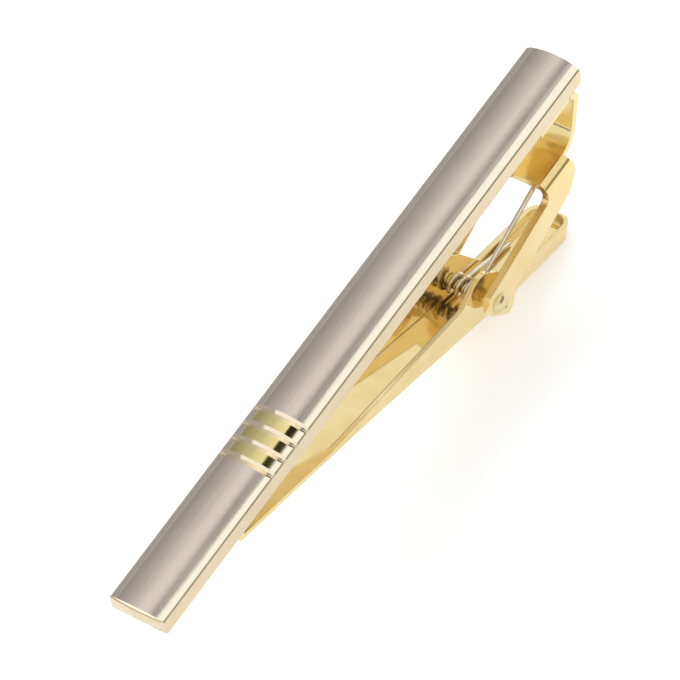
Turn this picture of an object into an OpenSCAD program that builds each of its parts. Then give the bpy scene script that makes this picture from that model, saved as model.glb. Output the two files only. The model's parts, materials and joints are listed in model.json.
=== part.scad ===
// Tie clip: a crowned face on a plain back bar, with a sprung alligator jaw under it.
//
// Every piece is drawn in the bar's own terms. X runs along the bar from its left end,
// Y is across it, and Z is height over the bar's back plane, so the jaw hangs below zero.
// stand() then centres the clip and lifts it until its lowest edge, the thumb tail, is at zero.

/* [Bar] */
// Length of the bar over its bulged ends
bar_length = 58; // [50:0.5:70]
// Width of the bar
bar_width = 4.8; // [4.7:0.1:5.4]
// Height of the back bar, from its back plane to the seam under the face
back_height = 1.5; // [1:0.1:2.5]
// How far each end bulges in plan
end_bulge = 0.13; // [0.05:0.01:0.4]
// Rounding of the back bar's lower edge at each end
end_under_r = 0.5; // [0.2:0.05:0.8]

/* [Face] */
// Height of the crown over the seam
face_rise = 0.52; // [0.4:0.02:0.8]
// Radius of the crown across the bar
crown_r = 7.6; // [6:0.2:12]
// Radius of the polished shoulder along each side of the crown
shoulder_r = 0.75; // [0.4:0.05:0.8]
// Ledge of the back bar that shows round the face at the seam
seam_ledge = 0.06; // [0.02:0.01:0.12]

/* [Bands] */
// Number of polished bands across the face
band_count = 3; // [1:1:6]
// Distance from the bar's left end to the first groove
band_start = 14.65; // [8:0.05:24]
// Distance from groove to groove
band_pitch = 1.54; // [1.2:0.02:2.4]
// Width of each V groove at the crown
groove_width = 0.62; // [0.3:0.02:0.8]
// Depth of each V groove under the crown
groove_depth = 0.31; // [0.15:0.01:0.4]

/* [Bracket] */
// Thickness of the bracket's sheet metal
sheet = 0.6; // [0.5:0.05:0.8]
// Outer radius of the bend between web and ear
ear_bend_r = 0.95; // [0.7:0.05:1.2]
// Width of the foot and nose strip
strip_width = 4.6; // [4:0.1:4.7]
// Width of the bracket's strip where it turns down past the foot
nose_width = 4.8; // [4.7:0.1:5.6]
// Distance from the bar's right end back to where the foot ends and the nose starts
nose_inset = 1.7; // [1.5:0.1:4]
// Length of the soldered foot
foot_length = 4.2; // [3:0.1:6]
// Clear height between foot and web
nose_gap = 4.55; // [4.2:0.05:6]
// Turn of the tight bend between foot and nose
nose_turn = 105; // [98:1:120]
// Inner radius of that tight bend
nose_top_r = 0.35; // [0.2:0.05:0.6]
// Inner radius of the wide bend between nose and web
nose_low_r = 2.2; // [1:0.1:2.3]
// Length of the flat web
web_length = 2.9; // [2.4:0.1:4]
// Height of the ears at their heel, from the web down
heel_height = 3.5; // [3.4:0.1:4.4]
// Reach of the heel beyond the flat web
heel_reach = 1.05; // [0.8:0.05:1.4]
// Share of the heel's height at which it reaches furthest
heel_share = 0.5; // [0.4:0.05:0.7]
// Drop from the web to the top edge of each arm
arm_drop = 1.7; // [1.4:0.1:2.4]
// Half width of each ear's rounded end at the pin
ear_end_r = 1.7; // [1.5:0.05:1.9]

/* [Hinge pin] */
// Distance from the bar's right end to the pin
pin_inset = 14.9; // [13.5:0.1:15.5]
// Depth of the pin under the bar's back plane
pin_depth = 10.65; // [10.2:0.05:11.4]
// Diameter of the pin
pin_d = 1.1; // [0.9:0.05:1.2]
// Diameter of the domed rivet heads
head_d = 1.9; // [1.6:0.05:2.4]
// Height of the domed rivet heads
head_h = 0.55; // [0.4:0.05:0.9]
// Diameter of the dimple in each rivet head
dimple_d = 0.8; // [0.5:0.05:1]
// Depth of the dimple
dimple_depth = 0.22; // [0.1:0.02:0.3]

/* [Jaw] */
// Length of the jaw from the pin to its tip
jaw_length = 34.6; // [28:0.2:38]
// Length of the thumb tail from the pin to its end
tail_length = 13.4; // [12:0.1:14]
// Outer width of the jaw at its tip
tip_width = 4.4; // [4.2:0.1:4.6]
// Outer width of the thumb tail at its end
tail_width = 3.8; // [3.6:0.1:4.2]
// Thickness of the jaw's sheet metal
jaw_sheet = 0.42; // [0.36:0.02:0.46]
// Outer radius of the jaw's lengthwise bends
jaw_bend_r = 0.55; // [0.5:0.05:0.8]
// Distance from the pin down to the outside of the jaw's web
web_below_pin = 1.98; // [1.8:0.02:2.2]
// Rise of the web where it bows up most, over the straight line from tip to pin
web_bow = 0.27; // [0.09:0.03:0.36]
// Where the web bows up most, as a share of the way from the pin to the tip
bow_share = 0.49; // [0.42:0.01:0.54]
// Radius of the bow
bow_r = 100; // [60:5:140]
// Depth of the jaw's outside under the bar at the tip, closed
tip_depth = 0.9; // [0.8:0.05:1.2]
// Height of the cheeks' level top over the outside of the web
cheek_height = 4.88; // [4.6:0.02:5]
// Distance from the pin toward the tip at which the level top ends
cheek_top_back = 1; // [0.6:0.1:1.4]
// Distance from the pin toward the tip at which the level top begins
cheek_top_front = 2.1; // [1.8:0.1:2.6]
// Distance from the pin toward the tip at which the cheeks rise out of the flanges
cheek_front = 3.95; // [3.4:0.05:4.6]
// Flange height over the outside of the web where the cheeks rise
flange_height = 2.9; // [2.6:0.1:3.6]
// Distance from the pin toward the tail of the brow, where the cheeks turn down
brow_back = 1.1; // [0.7:0.1:1.6]
// Height of the brow over the outside of the web
brow_height = 3.84; // [3.5:0.02:4.1]
// Distance from the pin toward the tail at which the cheeks end
cheek_back = 4.5; // [4:0.1:5]
// Flange height along the thumb tail
tail_rim = 1.25; // [0.9:0.05:1.5]
// Plain stretch of the tip with no flanges
tip_plain = 12.3; // [9:0.1:13.5]
// Angle by which the thumb tail is bent up from the jaw's line
tail_kick = 4.5; // [0:0.5:8]
// Rounding in plan of the thumb tail's end corners
tail_end_r = 1.6; // [0.8:0.1:1.7]
// Rounding in side view of the thumb tail's lower end
tail_under_r = 0.8; // [0.6:0.05:1]
// Number of teeth across the tip
tooth_count = 5; // [3:1:7]
// Height of the tooth roots over the inside of the web
tooth_root = 0.08; // [0.05:0.01:0.15]
// Length of the toothed lip along the jaw
lip_length = 0.5; // [0.4:0.05:0.8]

/* [Spring] */
// Wire diameter of the torsion spring
wire_d = 0.34; // [0.26:0.02:0.34]
// Mean radius of the coil
coil_r = 0.8; // [0.76:0.01:0.9]
// Whole turns in the coil, besides the part turn between the legs
coil_turns = 3; // [2:1:3]
// Length of the leg that pushes on the bracket's web
web_leg = 9.6; // [8.6:0.1:9.8]
// Length of the leg that pushes on the thumb tail, as a share of the tail's length
tail_leg_share = 0.63; // [0.5:0.01:0.68]
// Distance of the web leg's end from the middle
web_leg_side = 1.6; // [1.3:0.05:1.7]
// Distance of the tail leg's end from the middle
tail_leg_side = 1.05; // [0.8:0.05:1.1]

/* [Clearances] */
// Side clearance between each jaw flange and its ear
side_gap = 0.54; // [0.3:0.02:0.6]
// Side clearance between the coil and the jaw's flanges
coil_gap = 0.03; // [0.02:0.01:0.05]
// Radial clearance of the pin in the jaw
running_gap = 0.05; // [0.02:0.01:0.09]
// Radial clearance of the riveted pin in the ears
rivet_gap = 0.02; // [0.01:0.005:0.03]
// Clearance under the teeth and under the spring's legs
seat_gap = 0.03; // [0.02:0.01:0.06]

/* [Hidden] */
$fn = 64;
// Overrun of every cutting tool
over = 1;
// Steps in each rounded corner of an outline
corner_steps = 8;

// The bar's plan
end_r = (pow(bar_width / 2, 2) + pow(end_bulge, 2)) / (2 * end_bulge);

// The jaw lies along its own axis, which falls away from the tip by this angle
pin_x = bar_length - pin_inset;
jaw_reach = norm([jaw_length, web_below_pin]);
jaw_fall = asin((pin_depth - tip_depth) / jaw_reach) + atan(web_below_pin / jaw_length);

// Distance from the pin toward the tip at which the web bows up most
bow_place = jaw_length * bow_share;

// The jaw narrows evenly in plan from its tip to the tail's end
jaw_taper = (tip_width - tail_width) / 2 / (jaw_length + tail_length);
pin_half = tip_width / 2 - jaw_taper * jaw_length;

// Outer and inner half widths over the ears
ear_in = pin_half + side_gap;
ear_out = ear_in + sheet;

// Depths of the web's upper and lower faces under the bar
web_top = sheet + nose_gap;
web_under = web_top + sheet;

// The nose strip's slanted wall between its two bends, and where the flat web ends
nose_bends = nose_top_r * (1 - cos(nose_turn)) + nose_low_r * (1 + cos(nose_turn));
nose_wall = (nose_gap - nose_bends) / sin(nose_turn);
nose_x = bar_length - nose_inset;
web_right = nose_x + nose_top_r * sin(nose_turn) + nose_wall * cos(nose_turn)
    - nose_low_r * sin(nose_turn);
web_left = web_right - web_length;

// Corners of each ear's rounded end, as shares of its half width, from the lower edge round to the top edge
ear_end_share = [[1.3, -0.45], [0.68, -1.6], [-0.8, -0.12], [-0.8, 1.05]];

// Heights in the jaw's frame, whose origin is the pin
web_out = -web_below_pin;
web_in = web_out + jaw_sheet;

// Height of the bar's back plane over the tip, in the jaw's frame, less the seat gap
tooth_top = (pin_depth - seat_gap - jaw_length * sin(jaw_fall)) / cos(jaw_fall);

// The tail's rounded end is the lowest edge of the whole clip
knee = [cheek_back, web_out];
tail_run = (tail_length - cheek_back) * turn(tail_kick);
tail_low = knee + tail_run * (1 - tail_under_r / (tail_length - cheek_back))
    + tail_under_r * turn(tail_kick + 90);
lift = pin_depth + tail_low[0] * sin(jaw_fall) - tail_low[1] * cos(jaw_fall) + tail_under_r;

function unit(v) = v / norm(v);
function turn(a) = [cos(a), sin(a)];
function heading(v) = atan2(v[1], v[0]);
function wrap(a) = a - 360 * floor((a + 180) / 360);

// Points of an arc that rounds the corner b between a and c
function corner(a, b, c, r) =
    let (
        u = unit(a - b),
        v = unit(c - b),
        half = acos(u * v) / 2,
        middle = b + unit(u + v) * r / sin(half),
        from = heading(b + u * r / tan(half) - middle),
        sweep = wrap(heading(b + v * r / tan(half) - middle) - from)
    )
    r == 0 ? [b] : [for (i = [0 : corner_steps]) middle + r * turn(from + sweep * i / corner_steps)];

// Outline through corners given as [x, z, radius]
function rounded(c) =
    let (n = len(c), p = [for (q = c) [q[0], q[1]]])
    [for (i = [0 : n - 1]) each corner(p[(i + n - 1) % n], p[i], p[(i + 1) % n], c[i][2])];

// Centres the clip over its length and lifts its lowest edge to zero
module stand() {
    translate([-bar_length / 2, 0, lift])
        children();
}

// Extrudes an X-Z outline across the bar, centred on it
module across(width) {
    rotate([90, 0, 0])
        linear_extrude(height = width, center = true)
            children();
}

// Extrudes a Y-Z section along the bar
module along(length) {
    rotate([90, 0, 90])
        linear_extrude(height = length)
            children();
}

// The jaw's frame: the pin is its origin and X runs toward the thumb tail
module at_jaw() {
    translate([pin_x, 0, -pin_depth])
        rotate([0, jaw_fall, 0])
            children();
}

// Plan of the bar with its bulged ends, drawn in by an even margin
module bar_plan(margin) {
    half = bar_width / 2 - margin;
    translate([end_bulge + margin, -half])
        square([bar_length - 2 * (end_bulge + margin), 2 * half]);
    for (side = [0, 1]) {
        translate([side * bar_length, 0])
            mirror([side, 0])
                intersection() {
                    translate([end_r, 0])
                        circle(r = end_r - margin);
                    translate([0, -half])
                        square([bar_length / 2, 2 * half]);
                }
    }
}

// Solid back bar, with its lower edge rounded at both ends
module bar_back() {
    color("burlywood")
        stand()
            intersection() {
                linear_extrude(height = back_height)
                    bar_plan(0);
                across(bar_width + over)
                    polygon(rounded([
                        [0, 0, end_under_r],
                        [bar_length, 0, end_under_r],
                        [bar_length, back_height, 0],
                        [0, back_height, 0]
                    ]));
            }
}

// Section of the face: a crown that ends in a tighter shoulder at each side
module face_section() {
    half = bar_width / 2 - seam_ledge;
    top = back_height + face_rise;
    // The shoulder's arc is tangent to the crown and ends at the face's corner on the seam
    corner_way = [half, crown_r - face_rise];
    inner_r = crown_r - shoulder_r;
    on_way = (pow(inner_r, 2) - pow(shoulder_r, 2) + corner_way * corner_way) / (2 * norm(corner_way));
    off_way = sqrt(pow(inner_r, 2) - pow(on_way, 2));
    shoulder = on_way * unit(corner_way) + off_way * unit([-corner_way[1], corner_way[0]]);
    join_y = shoulder[0] * crown_r / inner_r;
    intersection() {
        translate([0, top - crown_r])
            circle(r = crown_r, $fn = 256);
        translate([-half, back_height])
            square([2 * half, face_rise]);
        union() {
            translate([-join_y, back_height])
                square([2 * join_y, face_rise]);
            for (side = [-1, 1]) {
                translate([side * shoulder[0], top - crown_r + shoulder[1]])
                    circle(r = shoulder_r);
            }
        }
    }
}

// A V groove turned round the crown's own centre line
module groove() {
    rise = groove_depth + over;
    spread = groove_width / 2 * rise / groove_depth;
    translate([0, 0, back_height + face_rise - crown_r])
        rotate([0, 90, 0])
            rotate_extrude($fn = 256)
                polygon([
                    [crown_r - groove_depth, 0],
                    [crown_r - groove_depth + rise, spread],
                    [crown_r - groove_depth + rise, -spread]
                ]);
}

// Crowned face with its polished bands, parted by V grooves
module bar_face() {
    color("silver")
        stand()
            difference() {
                intersection() {
                    along(bar_length)
                        face_section();
                    linear_extrude(height = back_height + face_rise + over)
                        bar_plan(seam_ledge);
                }
                for (i = [0 : band_count]) {
                    translate([band_start + i * band_pitch, 0, 0])
                        groove();
                }
            }
}

// Part ring between two headings, for a bend of the nose strip
module bend(r, turn_by) {
    outer = r + sheet;
    reach = 2 * outer;
    difference() {
        intersection() {
            circle(r = outer);
            polygon([
                [0, 0],
                [0, reach],
                reach * turn(90 - turn_by / 2),
                reach * turn(90 - turn_by)
            ]);
        }
        circle(r = r);
    }
}

// Side view of the nose: tight bend, slanted wall, wide bend
module nose_profile() {
    translate([nose_x, -sheet - nose_top_r]) {
        bend(nose_top_r, nose_turn);
        rotate(-nose_turn) {
            translate([0, nose_top_r])
                square([nose_wall, sheet]);
            translate([nose_wall, nose_top_r - nose_low_r])
                bend(nose_low_r, 180 - nose_turn);
        }
    }
}

// Side view of one ear: a heel under the web, then an arm that runs to the pin
module ear_profile() {
    heel_x = web_right + heel_reach;
    round_end = [
        for (share = ear_end_share)
            [pin_x + ear_end_r * share[0], -pin_depth + ear_end_r * share[1], sheet]
    ];
    polygon(rounded([
        [web_left, -web_top, 0],
        [heel_x - heel_reach * heel_share, -web_top, 0],
        [heel_x, -web_top - heel_height * heel_share, heel_reach],
        [web_right, -web_top - heel_height, heel_reach],
        each round_end,
        [web_left, -web_top - arm_drop, sheet]
    ]));
}

// Section of web and ears as one bent channel that opens away from the bar
module ear_section() {
    drop = pin_depth + 2 * ear_end_r - web_top;
    difference() {
        channel(ear_out, ear_bend_r, drop);
        translate([0, sheet])
            channel(ear_in, ear_bend_r - sheet, drop);
    }
}

// Upside-down view of a round-cornered channel: its rounded edge is at zero, and it stands up from there
module channel(half, r, height) {
    translate([-half, r])
        square([2 * half, height - r]);
    translate([r - half, 0])
        square([2 * (half - r), height]);
    for (side = [-1, 1]) {
        translate([side * (half - r), r])
            circle(r = r);
    }
}

// Bracket, bent from one strip, with two ears that carry the pin
module bracket() {
    color("gold")
        stand()
            difference() {
                union() {
                    across(strip_width)
                        translate([nose_x - foot_length, -sheet])
                            square([foot_length, sheet]);
                    across(nose_width)
                        nose_profile();
                    intersection() {
                        translate([0, 0, -web_top])
                            mirror([0, 0, 1])
                                along(bar_length)
                                    ear_section();
                        across(2 * ear_out + over)
                            ear_profile();
                    }
                }
                translate([pin_x, 0, -pin_depth])
                    rotate([90, 0, 0])
                        cylinder(d = pin_d + 2 * rivet_gap, h = 2 * ear_out + over, center = true);
            }
}

// A place at the thumb tail's end, set in from it and up from its lower side
function tail_corner(inset, up) =
    knee + tail_run * (1 - inset / norm(tail_run)) + up * turn(tail_kick + 90);

// Rise of the web's bow at a distance from the tip, up to where it bows most
function bow_rise(from_tip) = web_bow * from_tip / (jaw_length - bow_place);

// Plan of the jaw, drawn in by an even margin
module jaw_plan(margin) {
    tip = tip_width / 2 - margin;
    tail = tail_width / 2 - margin;
    polygon(rounded([
        [-jaw_length, -tip, 0],
        [tail_length - margin, -tail, tail_end_r - margin],
        [tail_length - margin, tail, tail_end_r - margin],
        [-jaw_length, tip, 0]
    ]));
}

// Side view of the jaw: lip, plain tip, rising flange, cheeks, thumb tail
module jaw_profile() {
    low_end = tail_corner(0, 0);
    rim_end = tail_corner(0, tail_rim);
    polygon(rounded([
        [-jaw_length, web_out, jaw_sheet / 2],
        [-bow_place, web_out + web_bow, bow_r],
        [knee[0], knee[1], 2 * cheek_back],
        [low_end[0], low_end[1], tail_under_r],
        [rim_end[0], rim_end[1], jaw_sheet / 2],
        [knee[0], knee[1] + tail_rim, jaw_bend_r],
        [brow_back, web_out + brow_height, 2 * jaw_bend_r],
        [-cheek_top_back, web_out + cheek_height, 2 * jaw_bend_r],
        [-cheek_top_front, web_out + cheek_height, jaw_bend_r],
        [-cheek_front, web_out + flange_height, 2 * jaw_bend_r],
        [tip_plain - jaw_length, web_in + bow_rise(tip_plain), 0],
        [lip_length - jaw_length, web_in + bow_rise(lip_length), 0],
        [lip_length - jaw_length, tooth_top, 0],
        [-jaw_length, tooth_top, 0]
    ]));
}

// Hollow of the trough, open at the top and closed by the tail's end wall
module jaw_hollow() {
    inner_end = tail_corner(jaw_sheet, jaw_sheet);
    intersection() {
        translate([0, 0, web_out])
            linear_extrude(height = cheek_height + over)
                jaw_plan(jaw_sheet);
        across(tip_width)
            polygon(rounded([
                [tip_plain - jaw_length, web_in + bow_rise(tip_plain), 0],
                [-bow_place, web_in + web_bow, bow_r + jaw_sheet],
                [knee[0], web_in, 2 * cheek_back - jaw_sheet],
                [inner_end[0], inner_end[1], tail_under_r - jaw_sheet],
                [inner_end[0], web_out + cheek_height + over, 0],
                [tip_plain - jaw_length, web_out + cheek_height + over, 0]
            ]));
    }
}

// V notches that part the teeth across the lip
module tooth_notches() {
    pitch = tip_width / tooth_count;
    root = web_in + tooth_root;
    depth = tooth_top + over - root;
    spread = pitch / 2 * depth / (tooth_top - root);
    for (i = [1 : tooth_count - 1]) {
        translate([-jaw_length - over, i * pitch - tip_width / 2, root])
            along(lip_length + 2 * over)
                polygon([[0, 0], [spread, depth], [-spread, depth]]);
    }
}

// Jaw: a sheet trough with a toothed tip, cheeks at the pin and a thumb tail
module jaw() {
    color("goldenrod")
        stand()
            at_jaw()
                difference() {
                    intersection() {
                        translate([0, 0, web_out])
                            linear_extrude(height = cheek_height + over)
                                jaw_plan(0);
                        across(tip_width + over)
                            jaw_profile();
                    }
                    jaw_hollow();
                    tooth_notches();
                    rotate([90, 0, 0])
                        cylinder(d = pin_d + 2 * running_gap, h = tip_width + over, center = true);
                }
}

// Rivet pin with a domed head outside each ear
module hinge_pin() {
    dome_r = (pow(head_d / 2, 2) + pow(head_h, 2)) / (2 * head_h);
    dimple_r = (pow(dimple_d / 2, 2) + pow(dimple_depth, 2)) / (2 * dimple_depth);
    color("khaki")
        stand()
            translate([pin_x, 0, -pin_depth]) {
                rotate([90, 0, 0])
                    cylinder(d = pin_d, h = 2 * ear_out + head_h / 2, center = true);
                for (side = [0, 1]) {
                    mirror([0, side, 0])
                        translate([0, ear_out, 0])
                            rotate([-90, 0, 0])
                                difference() {
                                    intersection() {
                                        translate([0, 0, head_h - dome_r])
                                            sphere(r = dome_r);
                                        cylinder(d = head_d, h = head_h);
                                    }
                                    translate([0, 0, head_h + dimple_r - dimple_depth])
                                        sphere(r = dimple_r);
                                }
                }
            }
}

// Spring path, seen from the pin: web leg, coil, tail leg
function coil_point(a, y) = [coil_r * cos(a), y, coil_r * sin(a)];
function ahead(a) = [-sin(a), 0, cos(a)];

// The web leg is tangent to the coil and ends just under the web
web_leg_rise = pin_depth - web_under - wire_d / 2 - seat_gap;
web_leg_aim = asin(web_leg_rise / norm([web_leg, coil_r])) - atan(coil_r / web_leg);
web_leg_turn = web_leg_aim + 90;

// The tail leg is tangent to the coil and ends just over the tail's web
tail_leg = tail_length * tail_leg_share;
tail_leg_drop = -web_in - (tail_leg - cheek_back) * tan(tail_kick) - wire_d / 2 - seat_gap;
tail_leg_aim = -jaw_fall - asin(tail_leg_drop / norm([tail_leg, coil_r])) + atan(coil_r / tail_leg);
tail_leg_turn = tail_leg_aim - 90 + 360;

coil_span = 2 * (pin_half - jaw_sheet - coil_gap) - wire_d;
coil_sweep = tail_leg_turn - web_leg_turn + 360 * coil_turns;
coil_steps = round(coil_sweep / 45);
coil_path = [
    for (i = [0 : coil_steps])
        coil_point(web_leg_turn + coil_sweep * i / coil_steps, coil_span * (i / coil_steps - 0.5))
];
web_end = coil_path[0] - web_leg * ahead(web_leg_turn) + [0, coil_span / 2 - web_leg_side, 0];
tail_end = coil_path[coil_steps] + tail_leg * ahead(tail_leg_turn)
    + [0, tail_leg_side - coil_span / 2, 0];
spring_path = [
    web_end,
    web_end + wire_d * unit(coil_path[0] - web_end),
    each coil_path,
    tail_end - wire_d * unit(tail_end - coil_path[coil_steps]),
    tail_end
];

// Least gap between turns, measured on points at least half a turn apart
least_gap = min([
    for (i = [0 : coil_steps - 5], j = [i + 5 : coil_steps])
        norm(coil_path[i] - coil_path[j])
]) - wire_d;
echo(least_spring_gap = least_gap);

// Direction of a path at one of its points
function along_path(p, i) = unit(p[min(i + 1, len(p) - 1)] - p[max(i - 1, 0)]);

// Ring of six points round a path point, square to the path
function wire_ring(p, i, sides) =
    let (
        t = along_path(p, i),
        side = unit(cross(t, [0, 1, 0])),
        up = cross(side, t)
    )
    [
        for (k = [0 : sides - 1])
            p[i] + wire_d / 2 * (side * cos(360 * k / sides) + up * sin(360 * k / sides))
    ];

// One unbroken wire swept along a path
module wire(p) {
    sides = 6;
    rings = len(p);
    points = [for (i = [0 : rings - 1]) each wire_ring(p, i, sides)];
    walls = [
        for (i = [0 : rings - 2], k = [0 : sides - 1])
            let (a = i * sides + k, b = i * sides + (k + 1) % sides)
            each [[a, b, b + sides], [a, b + sides, a + sides]]
    ];
    last = (rings - 1) * sides;
    caps = [for (k = [1 : sides - 2]) each [[0, k + 1, k], [last, last + k, last + k + 1]]];
    polyhedron(points = points, faces = concat(walls, caps));
}

// Torsion spring round the pin, with one leg under the web and one on the tail
module spring() {
    color("dimgray")
        stand()
            translate([pin_x, 0, -pin_depth])
                wire(spring_path);
}

bar_back();
bar_face();
bracket();
jaw();
spring();
hinge_pin();
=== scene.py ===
import bmesh
import bpy
import json
import math
from mathutils import Matrix, Vector


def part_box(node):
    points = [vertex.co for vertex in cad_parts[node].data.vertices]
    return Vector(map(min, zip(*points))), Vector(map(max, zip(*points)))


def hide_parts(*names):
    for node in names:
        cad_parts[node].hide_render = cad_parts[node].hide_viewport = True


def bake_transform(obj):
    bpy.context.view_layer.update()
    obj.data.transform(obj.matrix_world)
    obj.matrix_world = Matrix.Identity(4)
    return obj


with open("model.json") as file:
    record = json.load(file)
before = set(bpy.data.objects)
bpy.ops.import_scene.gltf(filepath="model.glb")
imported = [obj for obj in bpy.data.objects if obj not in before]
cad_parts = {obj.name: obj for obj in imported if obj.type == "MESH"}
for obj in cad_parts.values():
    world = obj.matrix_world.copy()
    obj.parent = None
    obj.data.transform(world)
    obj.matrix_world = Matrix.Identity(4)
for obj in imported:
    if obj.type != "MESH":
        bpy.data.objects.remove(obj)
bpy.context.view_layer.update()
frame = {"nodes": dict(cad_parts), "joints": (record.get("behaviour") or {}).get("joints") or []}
nodes = frame["nodes"]
MM = 0.001

# Places on the clip that the looks follow, in metres
bar_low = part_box("bar_back")[0]
BAR_BACK_Z = bar_low.z
HINGE = Vector(frame["joints"][0]["pos_m"])
BAND_COUNT = 3
BAND_PITCH = 1.54 * MM
FIRST_GROOVE = bar_low.x + 14.65 * MM
LAST_GROOVE = FIRST_GROOVE + BAND_COUNT * BAND_PITCH
SHOULDER_Y = 1.75 * MM
GROOVE_END_Y = 2.3 * MM

# The camera: which way its back and its right side face, how far left of and below the middle of
# the bar's back it aims, its distance and its lens
CAMERA_BACK = Vector((-0.4443, -0.3931, 0.8050))
CAMERA_RIGHT = Vector((0.5399, -0.8346, -0.1096))
AIM_LEFT = 1.0547 * MM
AIM_DOWN = 0.2032 * MM
CAMERA_DISTANCE = 0.4
LENS, SENSOR = 282.3, 36
NEAREST, FARTHEST = 0.02, 5

# The large light over the far side: its edges, its strength, and its levels from near to far
PANEL_MIDDLE_X, PANEL_WIDTH = 0.11, 1.02
PANEL_NEAR_Y, PANEL_FAR_Y = 0.05, 0.65
PANEL_Z = 0.42
PANEL_STRENGTH = 1.22
PANEL_LEVELS = [(0.0, 1.0), (0.13, 0.8), (0.3, 0.56), (0.5, 0.41), (0.67, 0.32)]

# The room and the table, and what the metal mirrors round them
WHITE = (1, 1, 1)
ROOM_WHITE, ROOM_STRENGTH = (0.97, 0.98, 1.0), 0.8
TABLE_WHITE, TABLE_GLOW, TABLE_SIZE = (0.9, 0.9, 0.9), 0.2, 3
GAP_DARK = (0.02, 0.018, 0.016)
NEAR_DARK = (0.3, 0.26, 0.2)
LEFT_GREY = (0.42, 0.42, 0.42)
FAR_GREY = (0.34, 0.325, 0.38)

# Tones of the metals
SATIN = (0.71, 0.62, 0.54)
SATIN_PALE = (0.75, 0.655, 0.575)
SATIN_TOUCHED = (0.775, 0.685, 0.605)
BAND_GOLD = (0.80, 0.67, 0.31)
BAND_GOLD_DEEP = (0.76, 0.63, 0.28)
# Painted highlight: the polished shoulder is paler than the band gold, standing in for the white
# sheen of a bright reflection
SHOULDER_PAINTED_SHEEN_GOLD = (0.95, 0.90, 0.70)
# Painted highlight: the groove walls' pale gold stands in for the white reflection they catch
GROOVE_PAINTED_HIGHLIGHT_GOLD = (0.94, 0.82, 0.62)
FACE_WORN = (0.93, 0.90, 0.80)

# Levels of the finger patches between which the tone changes, and the roughness
TONE_LEVELS = (0.35, 0.7)
ROUGH_LEVELS = (0.3, 0.75)
# What finger patches, hairlines and wear add to a polished metal's roughness
PATCH_ROUGH, HAIRLINE_ROUGH, WORN_ROUGH = 0.06, 0.08, 0.15
# Hairlines run along these turns, in radians, and are noise drawn out by these scales
HAIRLINE_TURNS = (0.5, -0.95)
HAIRLINE_SCALES = (260, 9000, 9000)
BEVEL_SAMPLES = 6


# Short ways to add and join shader nodes

def add_node(tree, kind, **values):
    """Adds a shader node, with values for some of its inputs."""
    node = tree.nodes.new("ShaderNode" + kind)
    for label, value in values.items():
        node.inputs[label.replace("_", " ")].default_value = value
    return node


def add_math(tree, operation, *sides):
    """The output of a math node whose sides are numbers or other nodes' outputs."""
    node = add_node(tree, "Math")
    node.operation = operation
    for socket, side in zip(node.inputs, sides):
        if isinstance(side, (int, float)):
            socket.default_value = side
        else:
            tree.links.new(side, socket)
    return node.outputs[0]


def seen_directly(tree):
    """One where the camera, a mirror or glass looks, and zero for soft light."""
    path = add_node(tree, "LightPath")
    seen = path.outputs["Is Camera Ray"]
    for other in ("Is Glossy Ray", "Is Transmission Ray"):
        seen = add_math(tree, "MAXIMUM", seen, path.outputs[other])
    return seen


def join_surface(tree, soft, seen, surface):
    """Joins two shaders to a surface: one for soft light, one where it is seen or mirrored."""
    mix = add_node(tree, "MixShader")
    tree.links.new(seen_directly(tree), mix.inputs["Fac"])
    tree.links.new(soft.outputs[0], mix.inputs[1])
    tree.links.new(seen.outputs[0], mix.inputs[2])
    tree.links.new(mix.outputs[0], surface)


def bare_material(name):
    """A material with no shader yet, and its surface."""
    material = bpy.data.materials.new(name)
    material.use_nodes = True
    material.node_tree.nodes.clear()
    return material, add_node(material.node_tree, "OutputMaterial").inputs["Surface"]


# Camera and light

def place_camera():
    """Stands the camera where the bar's four corners fall on the photograph's."""
    back = CAMERA_BACK.normalized()
    right = (CAMERA_RIGHT - back * CAMERA_RIGHT.dot(back)).normalized()
    up = back.cross(right)
    aim = Vector((0, 0, BAR_BACK_Z)) - right * AIM_LEFT - up * AIM_DOWN
    data = bpy.data.cameras.new("camera")
    data.lens = LENS
    data.sensor_width = SENSOR
    data.clip_start = NEAREST
    data.clip_end = FARTHEST
    camera = bpy.data.objects.new("camera", data)
    bpy.context.scene.collection.objects.link(camera)
    turn = Matrix((right, up, back)).transposed().to_4x4()
    camera.matrix_world = Matrix.Translation(aim + back * CAMERA_DISTANCE) @ turn
    bpy.context.scene.camera = camera


def make_world():
    """A pale room that lights the part softly, and looks plain white."""
    world = bpy.data.worlds.new("white_room")
    world.use_nodes = True
    tree = world.node_tree
    tree.nodes.clear()
    out = add_node(tree, "OutputWorld")
    room = add_node(tree, "Background", Color=(*ROOM_WHITE, 1), Strength=ROOM_STRENGTH)
    white = add_node(tree, "Background", Color=(*WHITE, 1), Strength=1.0)
    join_surface(tree, room, white, out.inputs["Surface"])
    bpy.context.scene.world = world


def soft_box(name, place, width, height, watts):
    """A lamp that lights the table; what the metal mirrors of it is a panel of its own."""
    data = bpy.data.lights.new(name, "AREA")
    data.shape = "RECTANGLE"
    data.size = width
    data.size_y = height
    data.energy = watts
    lamp = bpy.data.objects.new(name, data)
    bpy.context.scene.collection.objects.link(lamp)
    lamp.location = place
    lamp.visible_glossy = False
    to_bar = Vector((0, 0, BAR_BACK_Z)) - Vector(place)
    lamp.rotation_euler = to_bar.to_track_quat("-Z", "Y").to_euler()


def flat_card(name, place, width, depth, turn=(0, 0, 0)):
    """A flat rectangle, level unless it is turned."""
    bpy.ops.mesh.primitive_plane_add(size=1, location=place, rotation=turn)
    card = bpy.context.object
    card.name = name
    card.scale = (width, depth, 1)
    return card


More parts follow.
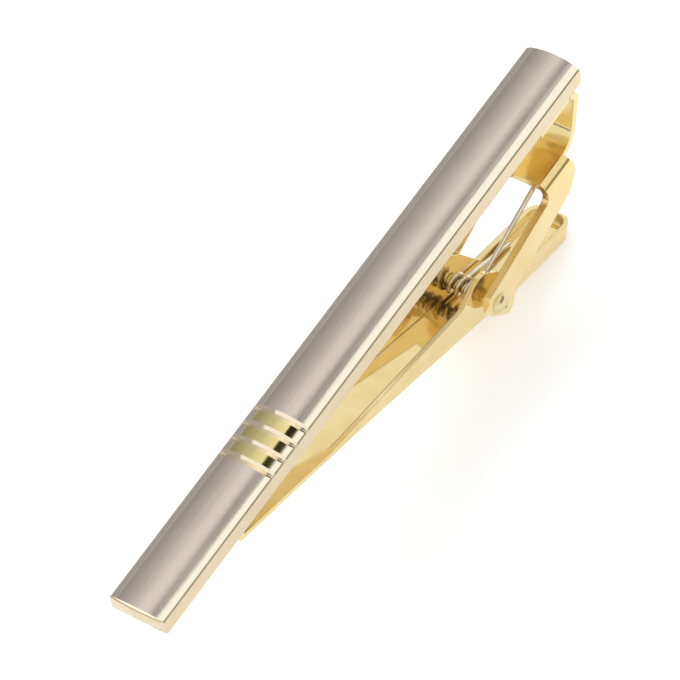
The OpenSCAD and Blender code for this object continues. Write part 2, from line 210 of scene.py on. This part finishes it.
def mirrored_card(name, color, place, width, depth, turn=(0, 0, 0)):
    """A card of one even colour that only polished metal sees; gives back the colour's shader."""
    card = flat_card(name, place, width, depth, turn)
    material, surface = bare_material(name)
    glow = add_node(material.node_tree, "Emission", Color=(*color, 1))
    material.node_tree.links.new(glow.outputs[0], surface)
    card.data.materials.append(material)
    card.visible_camera = False
    card.visible_diffuse = False
    card.visible_shadow = False
    card.visible_transmission = False
    return glow


def light_panel():
    """The large light over the far side, brightest along its near edge."""
    place = (PANEL_MIDDLE_X, (PANEL_NEAR_Y + PANEL_FAR_Y) / 2, PANEL_Z)
    glow = mirrored_card("light_panel", WHITE, place, PANEL_WIDTH, PANEL_FAR_Y - PANEL_NEAR_Y)
    glow.inputs["Strength"].default_value = PANEL_STRENGTH
    tree = glow.id_data
    parts = add_node(tree, "SeparateXYZ")
    tree.links.new(add_node(tree, "TexCoord").outputs["Object"], parts.inputs[0])
    ramp = add_node(tree, "ValToRGB")
    ramp.color_ramp.interpolation = "EASE"
    while len(ramp.color_ramp.elements) < len(PANEL_LEVELS):
        ramp.color_ramp.elements.new(0.5)
    for element, (share, level) in zip(ramp.color_ramp.elements, PANEL_LEVELS):
        element.position = share
        element.color = (level, level, level, 1)
    # The card's own Y runs from minus a half to a half
    tree.links.new(add_math(tree, "ADD", parts.outputs["Y"], 0.5), ramp.inputs[0])
    tree.links.new(ramp.outputs["Color"], glow.inputs["Color"])


def mirrored_wall(name, color, azimuth, low, high, half_width, reach):
    """An upright card round the table, from one elevation to another; angles in degrees."""
    bottom = BAR_BACK_Z + reach * math.tan(math.radians(low))
    top = BAR_BACK_Z + reach * math.tan(math.radians(high))
    heading = math.radians(azimuth)
    place = (reach * math.cos(heading), reach * math.sin(heading), (bottom + top) / 2)
    width = 2 * reach * math.tan(math.radians(half_width))
    upright = (math.radians(90), 0, heading + math.radians(90))
    mirrored_card(name, color, place, width, top - bottom, upright)


def make_room():
    """A white table, and the lighter and darker places round it that the metal mirrors."""
    table = flat_card("white_table", (0, 0, 0), TABLE_SIZE, TABLE_SIZE)
    material, surface = bare_material("white_table")
    tree = material.node_tree
    matt = add_node(tree, "BsdfDiffuse", Color=(*TABLE_WHITE, 1))
    glow = add_node(tree, "Emission", Color=(*WHITE, 1), Strength=TABLE_GLOW)
    both = add_node(tree, "AddShader")
    tree.links.new(matt.outputs[0], both.inputs[0])
    tree.links.new(glow.outputs[0], both.inputs[1])
    join_surface(tree, matt, both, surface)
    table.data.materials.append(material)

    light_panel()
    # The gap beside the light, mirrored as a dark line along the crown
    mirrored_card("gap_between_lights", GAP_DARK, place=(0.2, 0.0385, 0.415),
                  width=1.1, depth=0.051, turn=(0, 0, math.radians(10)))
    mirrored_wall("near_dark_wall", NEAR_DARK,
                  azimuth=-68, low=3, high=25, half_width=28, reach=0.6)
    mirrored_wall("left_grey_wall", LEFT_GREY,
                  azimuth=122, low=0, high=34, half_width=26, reach=0.7)
    mirrored_wall("far_grey_wall", FAR_GREY,
                  azimuth=62, low=-1, high=36, half_width=26, reach=0.7)
    # The far edge of the bar mirrors the table behind it
    mirrored_card("far_grey_table", FAR_GREY, place=(0.12, 0.23, 0.0005), width=0.5, depth=0.42)


# Effects that several finishes share

def new_group(name, inputs, outputs):
    """A node group with a place and these numbers going in, and these outputs."""
    group = bpy.data.node_groups.new(name, "ShaderNodeTree")
    group.interface.new_socket(name="Vector", in_out="INPUT", socket_type="NodeSocketVector")
    for label, value in inputs.items():
        socket = group.interface.new_socket(
            name=label, in_out="INPUT", socket_type="NodeSocketFloat")
        socket.default_value = value
    for label, kind in outputs.items():
        group.interface.new_socket(name=label, in_out="OUTPUT", socket_type="NodeSocket" + kind)
    return group, group.nodes.new("NodeGroupInput"), group.nodes.new("NodeGroupOutput")


def make_brushed_grain():
    """Fine lines that run along X, as a satin wheel leaves them."""
    group, given, made = new_group(
        "brushed_grain", {"Along": 250.0, "Across": 26000.0}, {"Height": "Float", "Tone": "Float"})
    stretch = add_node(group, "CombineXYZ")
    for axis, label in (("X", "Along"), ("Y", "Across"), ("Z", "Across")):
        group.links.new(given.outputs[label], stretch.inputs[axis])
    scaled = add_node(group, "VectorMath")
    scaled.operation = "MULTIPLY"
    group.links.new(given.outputs["Vector"], scaled.inputs[0])
    group.links.new(stretch.outputs[0], scaled.inputs[1])
    fine = add_node(group, "TexNoise", Scale=1, Detail=4, Roughness=0.65)
    broad = add_node(group, "TexNoise", Scale=0.12, Detail=2)
    for noise, label in ((fine, "Height"), (broad, "Tone")):
        group.links.new(scaled.outputs[0], noise.inputs["Vector"])
        group.links.new(noise.outputs["Fac"], made.inputs[label])
    return group


def make_handling_marks():
    """Hairlines in two directions, and soft patches left by fingers."""
    group, given, made = new_group(
        "handling_marks", {"Patch Scale": 260.0, "Hairlines": 0.5},
        {"Lines": "Float", "Patches": "Float"})
    lines = []
    for turn in HAIRLINE_TURNS:
        mapping = add_node(
            group, "Mapping", Rotation=(turn * 0.6, turn * 0.4, turn), Scale=HAIRLINE_SCALES)
        group.links.new(given.outputs["Vector"], mapping.inputs["Vector"])
        noise = add_node(group, "TexNoise", Scale=1, Detail=1)
        group.links.new(mapping.outputs[0], noise.inputs["Vector"])
        thin = add_node(group, "MapRange", From_Min=0.68, From_Max=0.74)
        group.links.new(noise.outputs["Fac"], thin.inputs["Value"])
        lines.append(thin.outputs[0])
    lines = add_math(group, "MAXIMUM", *lines)
    lines = add_math(group, "MULTIPLY", lines, given.outputs["Hairlines"])
    patches = add_node(group, "TexNoise", Detail=3)
    group.links.new(given.outputs["Vector"], patches.inputs["Vector"])
    group.links.new(given.outputs["Patch Scale"], patches.inputs["Scale"])
    group.links.new(lines, made.inputs["Lines"])
    group.links.new(patches.outputs["Fac"], made.inputs["Patches"])
    return group


def make_edge_wear():
    """A mask of worn edges, broken up by noise, and a normal that rounds the corners."""
    group, given, made = new_group(
        "edge_wear", {"Breakup Scale": 900.0, "Amount": 0.6, "Rounding": 0.06 * MM},
        {"Mask": "Float", "Rounded Normal": "Vector"})
    soft = add_node(group, "Bevel")
    soft.samples = BEVEL_SAMPLES
    group.links.new(given.outputs["Rounding"], soft.inputs["Radius"])
    group.links.new(soft.outputs[0], made.inputs["Rounded Normal"])
    # An edge is where a widely rounded normal turns away from the plain one
    wide = add_node(group, "Bevel", Radius=0.12 * MM)
    wide.samples = BEVEL_SAMPLES
    agree = add_node(group, "VectorMath")
    agree.operation = "DOT_PRODUCT"
    group.links.new(wide.outputs[0], agree.inputs[0])
    group.links.new(add_node(group, "NewGeometry").outputs["Normal"], agree.inputs[1])
    edge = add_node(group, "MapRange", From_Min=0.99, From_Max=0.85)
    group.links.new(agree.outputs["Value"], edge.inputs["Value"])
    noise = add_node(group, "TexNoise", Detail=3)
    group.links.new(given.outputs["Vector"], noise.inputs["Vector"])
    group.links.new(given.outputs["Breakup Scale"], noise.inputs["Scale"])
    broken = add_math(group, "MULTIPLY", edge.outputs[0], noise.outputs["Fac"])
    mask = add_math(group, "MULTIPLY", broken, given.outputs["Amount"])
    group.links.new(mask, made.inputs["Mask"])
    return group


# Finishes

class Finish:
    """A metal's node tree, with short ways to add and join its nodes."""

    def __init__(self, name):
        self.material = bpy.data.materials.new(name)
        self.material.use_nodes = True
        self.tree = self.material.node_tree
        self.shader = self.tree.nodes["Principled BSDF"]
        self.shader.inputs["Metallic"].default_value = 1.0
        self.place = add_node(self.tree, "TexCoord").outputs["Object"]

    def join(self, source, target):
        self.tree.links.new(source, target)

    def effect(self, group, **values):
        """One of the shared effects, with values for some of its inputs."""
        node = self.tree.nodes.new("ShaderNodeGroup")
        node.node_tree = group
        self.join(self.place, node.inputs["Vector"])
        for name, value in values.items():
            node.inputs[name.replace("_", " ")].default_value = value
        return node.outputs

    def axes(self, vector):
        """The X, Y and Z of a vector."""
        parts = add_node(self.tree, "SeparateXYZ")
        self.join(vector, parts.inputs[0])
        return parts.outputs

    def number(self, operation, *sides):
        return add_math(self.tree, operation, *sides)

    def spread(self, value, low, high, to_low, to_high):
        """Turns the range from low to high into another range, smoothly."""
        node = add_node(
            self.tree, "MapRange", From_Min=low, From_Max=high, To_Min=to_low, To_Max=to_high)
        node.interpolation_type = "SMOOTHSTEP"
        self.join(value, node.inputs["Value"])
        return node.outputs[0]

    def blend(self, mask, first, second):
        """A colour that goes from the first to the second with the mask."""
        node = add_node(self.tree, "Mix")
        node.data_type = "RGBA"
        self.join(mask, node.inputs[0])
        for socket, value in ((node.inputs[6], first), (node.inputs[7], second)):
            if isinstance(value, tuple):
                socket.default_value = (*value, 1)
            else:
                self.join(value, socket)
        return node.outputs[2]

    def bump(self, height, depth, strength, over=None):
        """Bump from a height, over a rounded normal if one is given."""
        node = add_node(self.tree, "Bump", Distance=depth, Strength=strength)
        if over is not None:
            self.join(over, node.inputs["Normal"])
        self.join(height, node.inputs["Height"])
        self.join(node.outputs[0], self.shader.inputs["Normal"])

    def color(self, source):
        self.join(source, self.shader.inputs["Base Color"])

    def roughness(self, source):
        self.join(source, self.shader.inputs["Roughness"])


def polished_gold(name, tone, deep, rough=0.06, patch_scale=260.0, rounding=0.06):
    """Bright gold plate, its tone, marks and worn edges; the rounding of its edges is in mm."""
    finish = Finish(name)
    finish.shader.inputs["Metallic"].default_value = 0.92
    marks = finish.effect(effects["marks"], Patch_Scale=patch_scale, Hairlines=0.5)
    wear = finish.effect(effects["wear"], Amount=0.7, Rounding=rounding * MM)
    drift = finish.blend(finish.spread(marks["Patches"], *TONE_LEVELS, 0, 1), tone, deep)
    # Worn edges are half way to a pale white gold
    worn = tuple(min(1, c * 0.5 + 0.48) for c in tone)
    finish.color(finish.blend(wear["Mask"], drift, worn))
    patchy = finish.spread(marks["Patches"], *ROUGH_LEVELS, rough, rough + PATCH_ROUGH)
    scratched = finish.number("MULTIPLY", marks["Lines"], HAIRLINE_ROUGH)
    rubbed = finish.number("MULTIPLY", wear["Mask"], WORN_ROUGH)
    finish.roughness(finish.number("ADD", finish.number("ADD", patchy, scratched), rubbed))
    finish.bump(marks["Patches"], 0.004 * MM, 0.06, over=wear["Rounded Normal"])
    return finish.material


def satin_face():
    """Satin grey crown, polished shoulders and groove walls in a pale gold that is painted
    highlight, and polished gold bands between the grooves.
    """
    finish = Finish("satin_face")
    place = finish.axes(finish.place)
    side = finish.number("ABSOLUTE", place["Y"], 0)
    facing = finish.axes(add_node(finish.tree, "TexCoord").outputs["Normal"])
    # A groove's sides face along X, and end where the face's upright edges begin
    in_groove = finish.spread(finish.number("ABSOLUTE", facing["X"], 0), 0.25, 0.45, 0, 1)
    inside = finish.spread(side, GROOVE_END_Y, GROOVE_END_Y + 0.04 * MM, 1, 0)
    in_groove = finish.number("MULTIPLY", in_groove, inside)
    soft = 0.03 * MM
    after_first = finish.spread(place["X"], FIRST_GROOVE - soft, FIRST_GROOVE + soft, 0, 1)
    before_last = finish.spread(place["X"], LAST_GROOVE - soft, LAST_GROOVE + soft, 1, 0)
    in_bands = finish.number("MULTIPLY", after_first, before_last)
    on_shoulder = finish.spread(side, SHOULDER_Y - soft, SHOULDER_Y + soft, 0, 1)
    polished = finish.number("MAXIMUM", finish.number("MAXIMUM", in_bands, on_shoulder), in_groove)

    grain = finish.effect(effects["grain"])
    marks = finish.effect(effects["marks"], Patch_Scale=140.0, Hairlines=0.4)
    wear = finish.effect(effects["wear"], Amount=0.5)
    satin = finish.blend(finish.spread(grain["Tone"], 0.3, 0.7, 0, 1), SATIN, SATIN_PALE)
    satin = finish.blend(finish.spread(marks["Patches"], 0.4, 0.75, 0, 0.6), satin, SATIN_TOUCHED)
    gold = finish.spread(marks["Patches"], *TONE_LEVELS, 0, 1)
    gold = finish.blend(gold, BAND_GOLD, BAND_GOLD_DEEP)
    # Painted highlight: the shoulders take a pale gold that stands in for the white sheen they
    # mirror
    bright = finish.blend(on_shoulder, gold, SHOULDER_PAINTED_SHEEN_GOLD)
    # Painted highlight: the groove walls take a pale gold in place of the white reflection on them
    bright = finish.blend(in_groove, bright, GROOVE_PAINTED_HIGHLIGHT_GOLD)
    finish.color(finish.blend(wear["Mask"], finish.blend(polished, satin, bright), FACE_WORN))

    dull = finish.spread(polished, 0, 1, 1, 0)
    satin_rough = finish.spread(marks["Patches"], *ROUGH_LEVELS, 0.21, 0.24)
    bright_rough = finish.spread(marks["Patches"], *ROUGH_LEVELS, 0.06, 0.11)
    satin_rough = finish.number("MULTIPLY", satin_rough, dull)
    bright_rough = finish.number("MULTIPLY", bright_rough, polished)
    finish.roughness(finish.number("ADD", satin_rough, bright_rough))
    finish.bump(finish.number("MULTIPLY", grain["Height"], dull), 0.005 * MM, 0.2)
    return finish.material


# The CAD nodes and the spring

def dress(node_name, material):
    """Puts one material on a CAD node."""
    node = nodes[node_name]
    node.data.materials.clear()
    node.data.materials.append(material)


def shade_bends(node):
    """Shades a CAD node's bends smoothly, with its corners as breaks, and leaves its mesh alone."""
    weld = node.modifiers.new("weld", "WELD")
    weld.merge_threshold = 0.002 * MM
    corners = node.modifiers.new("corners", "EDGE_SPLIT")
    corners.split_angle = math.radians(30)
    corners.use_edge_sharp = False
    for face in node.data.polygons:
        face.use_smooth = True


def pick_ring(mesh, y):
    """Selects the tube's open end nearest to a place across the coil, and gives its middle."""
    bpy.ops.mesh.select_all(action="DESELECT")
    rings = []
    left = {e for e in mesh.edges if e.is_boundary}
    while left:
        ring = {left.pop()}
        grown = True
        while grown:
            corners = {v for e in ring for v in e.verts}
            more = {e for e in left if set(e.verts) & corners}
            grown = bool(more)
            ring |= more
            left -= more
        rings.append(ring)
    middles = [sum((v.co for e in r for v in e.verts), Vector()) / (2 * len(r)) for r in rings]
    middle, chosen = min(zip(middles, rings), key=lambda pair: abs(pair[0].y - y))
    for edge in chosen:
        edge.select_set(True)
    mesh.select_flush(True)
    return middle


def wind_spring():
    """Coil round the pin, with one leg under the bracket's web and one on the thumb tail."""
    wire_r, coil_r = 0.2 * MM, 0.78 * MM
    near_y, far_y = -1.1 * MM, 1.3 * MM
    web_end = Vector((8.75, -1.6, 4.67)) * MM
    tail_end = Vector((7.6, 1.05, -3.78)) * MM
    whole_turns = 3
    coil_steps = 108
    wire_corners = 14
    leg_shares = (0.5, 0.47, 0.03)
    end_taper = 0.55
    # The coil starts and ends where its wire heads straight for the end of each leg
    web_reach = math.hypot(web_end.x, web_end.z)
    tail_reach = math.hypot(tail_end.x, tail_end.z)
    start = math.atan2(web_end.z, web_end.x) + math.acos(coil_r / web_reach)
    stop = math.atan2(tail_end.z, tail_end.x) - math.acos(coil_r / tail_reach) + 2 * math.pi
    sweep = stop - start + 2 * math.pi * whole_turns

    bpy.ops.object.select_all(action="DESELECT")
    bpy.ops.mesh.primitive_circle_add(vertices=wire_corners, radius=wire_r, location=(0, 0, 0))
    spring = bpy.context.object
    spring.name = "closing_spring"
    bpy.ops.object.mode_set(mode="EDIT")
    bpy.ops.mesh.select_all(action="SELECT")
    bpy.ops.transform.translate(value=(coil_r, 0, 0))
    bpy.ops.object.mode_set(mode="OBJECT")
    screw = spring.modifiers.new("coil", "SCREW")
    screw.axis = "Y"
    screw.angle = -sweep
    screw.screw_offset = far_y - near_y
    screw.steps = coil_steps
    screw.render_steps = coil_steps
    screw.use_smooth_shade = True
    bpy.ops.object.modifier_apply(modifier="coil")
    spring.rotation_euler = (0, -start, 0)
    spring.location = (0, near_y, 0)
    bpy.ops.object.transform_apply(location=True, rotation=True, scale=True)

    bpy.ops.object.mode_set(mode="EDIT")
    mesh = bmesh.from_edit_mesh(spring.data)
    for y, end in ((near_y, web_end), (far_y, tail_end)):
        run = end - pick_ring(mesh, y)
        for share in leg_shares:
            bpy.ops.mesh.extrude_edges_move(TRANSFORM_OT_translate={"value": run * share})
        bpy.ops.transform.resize(value=(end_taper, end_taper, end_taper))
        bpy.ops.mesh.edge_face_add()
    bpy.ops.mesh.select_all(action="SELECT")
    bpy.ops.mesh.normals_make_consistent(inside=False)
    bpy.ops.object.mode_set(mode="OBJECT")
    spring.location = HINGE
    bpy.ops.object.transform_apply(location=True, rotation=True, scale=True)
    bpy.ops.object.shade_smooth_by_angle(angle=math.radians(40))
    spring.data.materials.append(polished_gold(
        "spring_wire", (0.84, 0.77, 0.64), (0.74, 0.66, 0.53), rough=0.14, patch_scale=700.0))
    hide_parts("spring")
    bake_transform(spring)


bpy.context.scene.view_settings.view_transform = "Standard"
bpy.ops.object.select_all(action="DESELECT")
place_camera()
make_world()
soft_box("large_soft_box", place=(0.15, 0.35, 0.55), width=0.6, height=0.5, watts=1.3)
soft_box("front_soft_box", place=(0.1, -0.35, 0.45), width=0.6, height=0.3, watts=0.7)
make_room()

effects = {"grain": make_brushed_grain(), "marks": make_handling_marks(), "wear": make_edge_wear()}
dress("bar_face", satin_face())
dress("bar_back", polished_gold("bar_gold", (0.75, 0.62, 0.41), (0.71, 0.575, 0.36)))
dress("bracket", polished_gold(
    "bracket_gold", (0.86, 0.7, 0.35), (0.84, 0.65, 0.28), rough=0.08, rounding=0.1))
dress("jaw", polished_gold("jaw_gold", (0.87, 0.71, 0.36), (0.83, 0.64, 0.29), rounding=0.17))
dress("hinge_pin", polished_gold("pin_gold", (0.74, 0.62, 0.36), (0.68, 0.56, 0.32), rough=0.1))
for name in ("bracket", "jaw", "bar_back"):
    shade_bends(nodes[name])
wind_spring()
